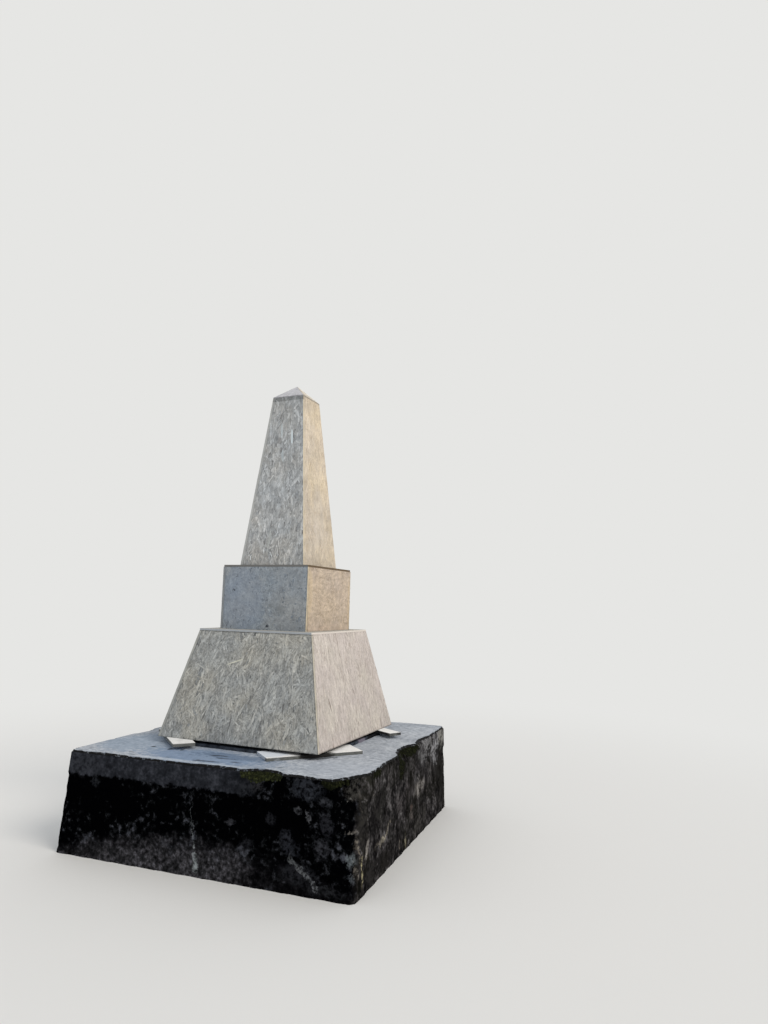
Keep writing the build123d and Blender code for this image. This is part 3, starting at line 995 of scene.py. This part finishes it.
def moss_tree():
    """Geometry Nodes: tufts on a surface where its attribute says that moss grows."""
    inputs = {
        "Surface": "Geometry",
        "Tufts": "Collection",
        "Per m2": "Float",
        "Seed": "Int",
        "Material": "Material",
    }
    tree, given = new_group("moss tufts", inputs, "Moss")
    moss = add(tree, "GeometryNodeInputNamedAttribute", {"Name": "moss"}, data_type="FLOAT")
    number = add(tree, "Math.MULTIPLY", [moss, given["Per m2"]])
    scatter = {"Mesh": given["Surface"], "Density": number, "Seed": given["Seed"]}
    points = add(tree, "GeometryNodeDistributePointsOnFaces", scatter).outputs
    pick = {"Collection": given["Tufts"], "Separate Children": True, "Reset Children": True}
    tufts = {
        "Points": points["Points"],
        "Instance": add(tree, "GeometryNodeCollectionInfo", pick),
        "Pick Instance": True,
        "Rotation": points["Rotation"],
        "Scale": add(tree, "FunctionNodeRandomValue", {"Min": 0.6, "Max": 1.5, "Seed": given["Seed"]}),
    }
    tufts = add(tree, "GeometryNodeInstanceOnPoints", tufts)
    return end_group(tree, tufts, given["Material"], "Moss")


def moss_tuft(name, dice):
    """Small lumpy cushion, half sunk in the surface that it grows on."""
    shape = bmesh.new()
    bmesh.ops.create_icosphere(shape, subdivisions=2, radius=1.0)
    radius = dice.uniform(4, 9) * MM
    for vertex in shape.verts:
        wobble = 1 + 0.3 * noise.noise(vertex.co * 2.2 + Vector((dice.random(), 0, 0)) * 0.2)
        vertex.co = vertex.co * wobble * radius
        vertex.co.z *= 0.45
    return bpy.data.objects.new(name, finished_mesh(name, shape))


def moss_material():
    """Moss cushions: dull dark olive with yellower tips in small patches."""
    material, tree, shader, place = new_material("moss cushions", 1.0, 0.05)
    patches = add(tree, "TexNoise", [place, 60.0, 4.0, 0.7])
    olive = add(tree, "ValToRGB", [patches], [(0.3, "#0e100a"), (0.5, "#1f2214"), (0.72, "#3f4327")])

    # At the near corner and on the sunned side the moss has dried almost black
    side = add(tree, "SeparateXYZ", [place]).outputs["X"]
    dried = add(tree, "MapRange", [side, 0.6, 0.8, 1.0, 0.45])
    olive = add(tree, "VectorMath.SCALE", [olive, dried])
    feed(tree, shader, {"Base Color": olive})
    return material


def grow_moss(block):
    """Tufts of moss over the block's mossy patches."""
    dice = random.Random(SEED)
    collection = bpy.data.collections.new("tufts")
    for i in range(5):
        collection.objects.link(moss_tuft(f"tuft_{i}", dice))
    carrier = in_scene("mossy_surface", block.data.copy())
    values = {"Tufts": collection, "Per m2": 14000.0, "Seed": SEED, "Material": moss_material()}
    piece = grow(carrier, moss_tree(), values, "moss_cushions")
    remove_shapes(collection)
    piece.data.polygons.foreach_set("use_smooth", [True] * len(piece.data.polygons))
    settle(piece)


def flat_outline(node, level, spacing):
    """Evenly spaced points around a CAD node's flat face at a level, counterclockwise."""
    shape = welded(node)
    at_level = [f for f in shape.faces if all(abs(v.co.z - level) < 0.1 * MM for v in f.verts)]
    after = {}
    for face in at_level:
        for loop in face.loops:
            if not any(f in at_level for f in loop.edge.link_faces if f is not face):
                start, end = loop.vert, loop.link_loop_next.vert
                pair = (start, end) if face.normal.z > 0 else (end, start)
                after[pair[0]] = pair[1]
    first = next(iter(after))
    chain, vertex = [], first
    while True:
        chain.append(vertex.co.xy.copy())
        vertex = after[vertex]
        if vertex is first:
            break
    shape.free()
    points = []
    for start, end in zip(chain, chain[1:] + chain[:1]):
        steps = max(1, round((end - start).length / spacing))
        points += [start.lerp(end, i / steps) for i in range(steps)]
    return np.array([tuple(p) for p in points])


def inward_normals(points):
    """Inward directions along a counterclockwise outline, smoothed over a few neighbours."""
    reach = 4
    tangent = np.roll(points, -reach, axis=0) - np.roll(points, reach, axis=0)
    tangent /= np.linalg.norm(tangent, axis=1)[:, None]
    return np.column_stack([-tangent[:, 1], tangent[:, 0]])


# Section of a worn slab's edge, from its foot to its top: share of the way down, distance in from
# the outline, and fall below the top
EDGE_SECTION = [(1.0, 0, 0), (0.6, 0, 0), (0.25, 0, 0), (0, 2.0, 0.6), (0, 5.0, 0), (0, 16.0, 0)]


def worn_slab(node, material, chip, lump):
    """Closed slab in a CAD node's place with a chipped, rounded and ragged edge."""
    low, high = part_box(node)
    top, foot = high[2], low[2]
    thickness = top - foot
    upper = flat_outline(node, top, 8 * MM)
    lower = flat_outline(node, foot, 4 * MM)
    inward = inward_normals(upper)
    under = np.array([lower[np.argmin(((lower - p) ** 2).sum(axis=1))] for p in upper])
    points = []
    for share, inset, fall in EDGE_SECTION:
        for (x, y), (nx, ny) in zip(upper * (1 - share) + under * share, inward):
            p = Vector((x, y, share * 0.05))
            chipped = chip * max(0.0, fractal(p, 0.06, 3) - 0.1) * (1 - share)
            lumpy = lump * (0.5 + 0.5 * fractal(p, 0.035, 2, (4, 1, 2)))
            move = inset * MM + chipped + lumpy
            points.append((x + nx * move, y + ny * move, top - share * thickness - fall * MM))
    count = len(upper)
    faces = [tuple(range(count))[::-1], tuple(range(len(points) - count, len(points)))]
    for start in range(0, len(points) - count, count):
        for i in range(count):
            j = (i + 1) % count
            faces.append((start + i, start + j, start + count + j, start + count + i))
    mesh = bpy.data.meshes.new(f"{node}_surface")
    mesh.from_pydata(points, [], faces)
    store(mesh, "rim", np.repeat([inset * MM for _, inset, _ in EDGE_SECTION], count))
    mesh.materials.append(material)
    settle(in_scene(mesh.name, mesh), node)


# Painted light and marks on the screed, in the block's own axes: bluer, darker zones in front of the
# tower, darkest by the bed, and towards the left end, painted sky-lit shade; a lighter zone to the
# right, painted sunlight; a paler strip along the front edge; a painted shadow under the plinth's
# near corner; thin cracks and black specks
SCREED_SHADE_AND_MARKS = [
    ((-80, -790), (600, 240), 0.0, "#8695a9", 0.5),
    ((-120, -800), (430, 160), 0.0, "#758ba8", 0.65),
    ((760, -720), (220, 230), 0.0, "#a1a7b0", 0.5),
    ((-720, -620), (260, 330), 0.0, "#8898aa", 0.6),
    ((-150, -955), (420, 22), 0.0, "#b7c0ca", 0.6),
    ((575, -530), (120, 34), 0.73, "#3c4046", 0.7),
    ((80, -735), (290, 75), 0.0, "#52657c", 0.5),
    ((-40, -745), (70, 15), 0.1, "#2c3038", 0.8),
    ((30, -800), (80, 12), 0.05, "#363b44", 0.75),
    ((-30, -905), (100, 13), 0.1, "#2c2f34", 0.75),
    ((150, -860), (50, 11), 0.0, "#3d424b", 0.7),
    ((-580, -690), (14, 26), 0.0, "#22262c", 0.9),
    ((-435, -709), (18, 22), 0.0, "#2b3038", 0.8),
    ((-347, -701), (13, 20), 0.0, "#2b3038", 0.8),
]


def screed_material():
    """Weathered cement screed: pale blue-grey, dusty and mottled, black growth creeping over its edge."""
    material, tree, shader, place = new_material("weathered cement screed", 0.9, 0.2)
    clouds = add(tree, "TexNoise", [place, 4.0, 3.0])
    mottle = add(tree, "TexNoise", [place, 30.0, 6.0, 0.75])
    both = add(tree, "Math.MULTIPLY_ADD", [clouds, 0.5, mottle])
    base = add(tree, "ValToRGB", [both], [(0.6, "#8b9199"), (0.75, "#a0a6ae"), (0.88, "#b4b9bf")])
    specks = add(tree, "MapRange", [mottle, 0.66, 0.74, 0.0, 0.5])
    base = add(tree, "Mix.RGBA", [specks, base, colour("#5b6067")])

    # Painted light and marks: bluer, darker shade in front of the tower and towards the left end, a
    # lighter zone to the right, a shadow under the plinth's near corner, and the cracks and specks
    own = add(tree, "Mapping.TEXTURE", {"Vector": place, **BLOCK_AXES})
    frayed = add(tree, "Math.MULTIPLY_ADD", [clouds, 0.8, -1.3])
    frayed = add(tree, "Math.MULTIPLY_ADD", [mottle, 1.8, frayed])
    base = paint_ovals(tree, base, own, frayed, 1.0, SCREED_SHADE_AND_MARKS)
    grain = add(tree, "MapRange", [mottle, 0.36, 0.64, 0.92, 1.08])
    washed = add(tree, "TexNoise", [own, 11.0, 4.0, 0.7])
    washed = add(tree, "MapRange", [washed, 0.36, 0.64, 0.95, 1.06])
    grain = add(tree, "Math.MULTIPLY", [grain, washed])
    base = add(tree, "VectorMath.SCALE", [base, grain])

    # Flakes and fine cracks in the strip along the front edge
    inwards = add(tree, "SeparateXYZ", [own]).outputs["Y"]
    near_edge = add(tree, "MapRange", [inwards, -0.93, -0.72, 0.85, 0.0])
    flakes = stretched_noise(tree, own, (9, 26, 1), 5.0, 0.7)
    flakes = add(tree, "MapRange", [flakes, 0.62, 0.66])
    flakes = add(tree, "Math.MULTIPLY", [flakes, near_edge])
    base = add(tree, "Mix.RGBA", [flakes, base, colour("#4c5258")])

    # Black growth on the thin side of the screed and over its rim
    rim = add(tree, "Attribute.rim").outputs["Fac"]
    ragged = add(tree, "TexNoise", [place, 30.0, 5.0, 0.7])
    reach = add(tree, "MapRange", [ragged, 0.4, 0.75, 0.5 * MM, 13 * MM])
    clear = add(tree, "Math.SUBTRACT", [rim, reach])
    clear = add(tree, "MapRange", [clear, -1.5 * MM, 1.5 * MM])
    grown = add(tree, "Mix.RGBA", [clear, colour("#101011"), base])
    bump = add(tree, "Bump", {"Strength": 0.5, "Distance": 1.5 * MM, "Height": mottle})
    feed(tree, shader, {"Base Color": grown, "Normal": bump})
    return material


# Painted light on the mortar bed's right side, seen from above: a paler patch, painted sunlight under
# the plinth, and black painted shadow cast by the right packing board
MORTAR_SUN_AND_SHADOW = [
    ((612, 66), (56, 66), 0.0, "#77737f", 0.9),
    ((612, 330), (70, 160), 0.0, "#0c0c0d", 0.9),
]


def mortar_material():
    """Dark mortar: bluish grey, dull, coarse."""
    material, tree, shader, place = new_material("dark mortar", 0.95, 0.1)
    mottle = add(tree, "TexNoise", [place, 30.0, 5.0])
    grey = add(tree, "ValToRGB", [mottle], [(0.3, "#23272d"), (0.7, "#444a54")])
    ragged = add(tree, "Math.MULTIPLY_ADD", [mottle, 1.0, -0.5])
    # Painted sunlight and shadow on the bed's right side
    grey = paint_ovals(tree, grey, place, ragged, 1.0, MORTAR_SUN_AND_SHADOW)
    bump = add(tree, "Bump", {"Strength": 0.8, "Distance": 3 * MM, "Height": mottle})
    feed(tree, shader, {"Base Color": grey, "Normal": bump})
    return material


# On the packing boards, seen from above: painted shadow on the right board's sawn edge; on the near
# board's paint, painted sky light on a bluer part and the painted black shadow under the plinth's corner
BOARD_EDGE_SHADOW = [((715, 345), (95, 75), 0.0, "#1c1c1e", 0.9)]
PAINT_SKY_AND_SHADOW = [
    ((290, -650), (130, 110), 0.0, "#cdd8e6", 0.6),
    ((566, -542), (125, 75), math.radians(45), "#171412", 0.95),
]


def painted_board_material():
    """White painted board: clean smooth faces, and sawn edges left bare that have gone grey-brown."""
    material, tree, shader, place = new_material("white painted board with bare sawn edges", 0.6, 0.3)
    normal = add(tree, "NewGeometry").outputs["Normal"]
    upright = add(tree, "SeparateXYZ", [normal]).outputs["Z"]
    upright = add(tree, "Math.ABSOLUTE", [upright])
    painted = add(tree, "Math.GREATER_THAN", [upright, 0.5])
    smudges = add(tree, "TexNoise", [place, 20.0, 4.0])
    ragged = add(tree, "Math.MULTIPLY_ADD", [smudges, 1.0, -0.5])
    paint = add(tree, "ValToRGB", [smudges], [(0.25, "#dadad8"), (0.5, "#ececea")])
    saw = stretched_noise(tree, place, (40, 40, 400), 3.0)
    bare = add(tree, "ValToRGB", [saw], [(0.3, "#4e504e"), (0.7, "#72736f")])
    # Painted shadow on the right board's sawn edge
    bare = paint_ovals(tree, bare, place, ragged, 1.0, BOARD_EDGE_SHADOW)
    both = add(tree, "Mix.RGBA", [painted, bare, paint])
    # Painted sky light and shadow on the near board's paint
    both = paint_ovals(tree, both, place, ragged, 1.0, PAINT_SKY_AND_SHADOW)
    feed(tree, shader, {"Base Color": both})
    return material


def soft_edged(node, material, width):
    """A CAD node's solid with its edges eased, in the node's place."""
    shape = welded(node)
    sharp = [e for e in shape.edges if len(e.link_faces) == 2 and e.calc_face_angle() > math.radians(30)]
    bmesh.ops.bevel(shape, geom=sharp, offset=width, segments=2, affect="EDGES", profile=0.6)
    mesh = finished_mesh(f"{node}_surface", shape)
    mesh.materials.append(material)
    settle(in_scene(mesh.name, mesh), node)


block = rough_block()
grow_moss(block)
worn_slab("top_screed", screed_material(), 14 * MM, 3 * MM)
worn_slab("mortar_bed", mortar_material(), 10 * MM, 8 * MM)
painted = painted_board_material()
for corner in ("near", "right", "back", "left"):
    soft_edged(f"{corner}_packing_board", painted, 1.2 * MM)


# Floor, light and camera
BACKDROP = "#e6e6e4"


def stage():
    """Pale floor that keeps the shadow near the object and fades into the backdrop farther off."""
    mesh = bpy.data.meshes.new("floor")
    reach = 60.0
    corners = [(-reach, -reach, 0), (reach, -reach, 0), (reach, reach, 0), (-reach, reach, 0)]
    mesh.from_pydata(corners, [], [(0, 1, 2, 3)])
    material, tree, shader, place = new_material("pale studio floor", 0.9, 0.1)
    feed(tree, shader, {"Base Color": colour("#dfdfdd")})
    distance = add(tree, "VectorMath.LENGTH", [place])
    far = add(tree, "MapRange.SMOOTHSTEP", [distance, 2.6, 7.5])
    seen = add(tree, "LightPath").outputs["Is Camera Ray"]
    faded = add(tree, "Math.MULTIPLY", [far, seen])
    plain = add(tree, "Emission", {"Color": colour(BACKDROP), "Strength": 1.0})
    both = add(tree, "MixShader", [faded, shader, plain])
    output = next(n for n in tree.nodes if n.type == "OUTPUT_MATERIAL")
    feed(tree, output, {"Surface": both})
    mesh.materials.append(material)
    in_scene("floor", mesh)


def lights():
    """Even soft light from all round, and one broad warm lamp from the right."""
    world = bpy.data.worlds.new("studio")
    bpy.context.scene.world = world
    world.use_nodes = True
    tree = world.node_tree
    tree.nodes.clear()
    seen = add(tree, "Background", {"Color": colour(BACKDROP), "Strength": 1.0})
    lighting = add(tree, "Background", {"Color": colour("#f7f9fc"), "Strength": 0.8})
    path = add(tree, "LightPath").outputs["Is Camera Ray"]
    choose = add(tree, "MixShader", [path, lighting, seen])
    add(tree, "OutputWorld", {"Surface": choose})
    lamp = bpy.data.lights.new("key", "SUN")
    lamp.energy = 1.3
    lamp.angle = math.radians(28)
    lamp.color = colour("#fff6ea")[:3]
    towards_lamp = Vector((0.74, -0.2, 0.64))
    in_scene("key", lamp).rotation_euler = towards_lamp.to_track_quat("Z", "Y").to_euler()


def camera():
    """Camera where the photograph was taken from, about 1.6 m above the ground."""
    view = bpy.data.cameras.new("camera")
    view.sensor_width = 36.0
    focal_pixels = 679.5
    image_height = 1024
    view.lens = view.sensor_width * focal_pixels / image_height
    turn, pitch, roll = math.radians(22.368), math.radians(7.839), math.radians(1.382)
    holder = in_scene("camera", view)
    holder.matrix_world = (
        Matrix.Translation((2.6512, -4.5637, 1.6031))
        @ Matrix.Rotation(turn, 4, "Z")
        @ Matrix.Rotation(math.pi / 2 + pitch, 4, "X")
        @ Matrix.Rotation(roll, 4, "Z")
    )
    bpy.context.scene.camera = holder


stage()
lights()
camera()
bpy.context.scene.view_settings.view_transform = "Standard"
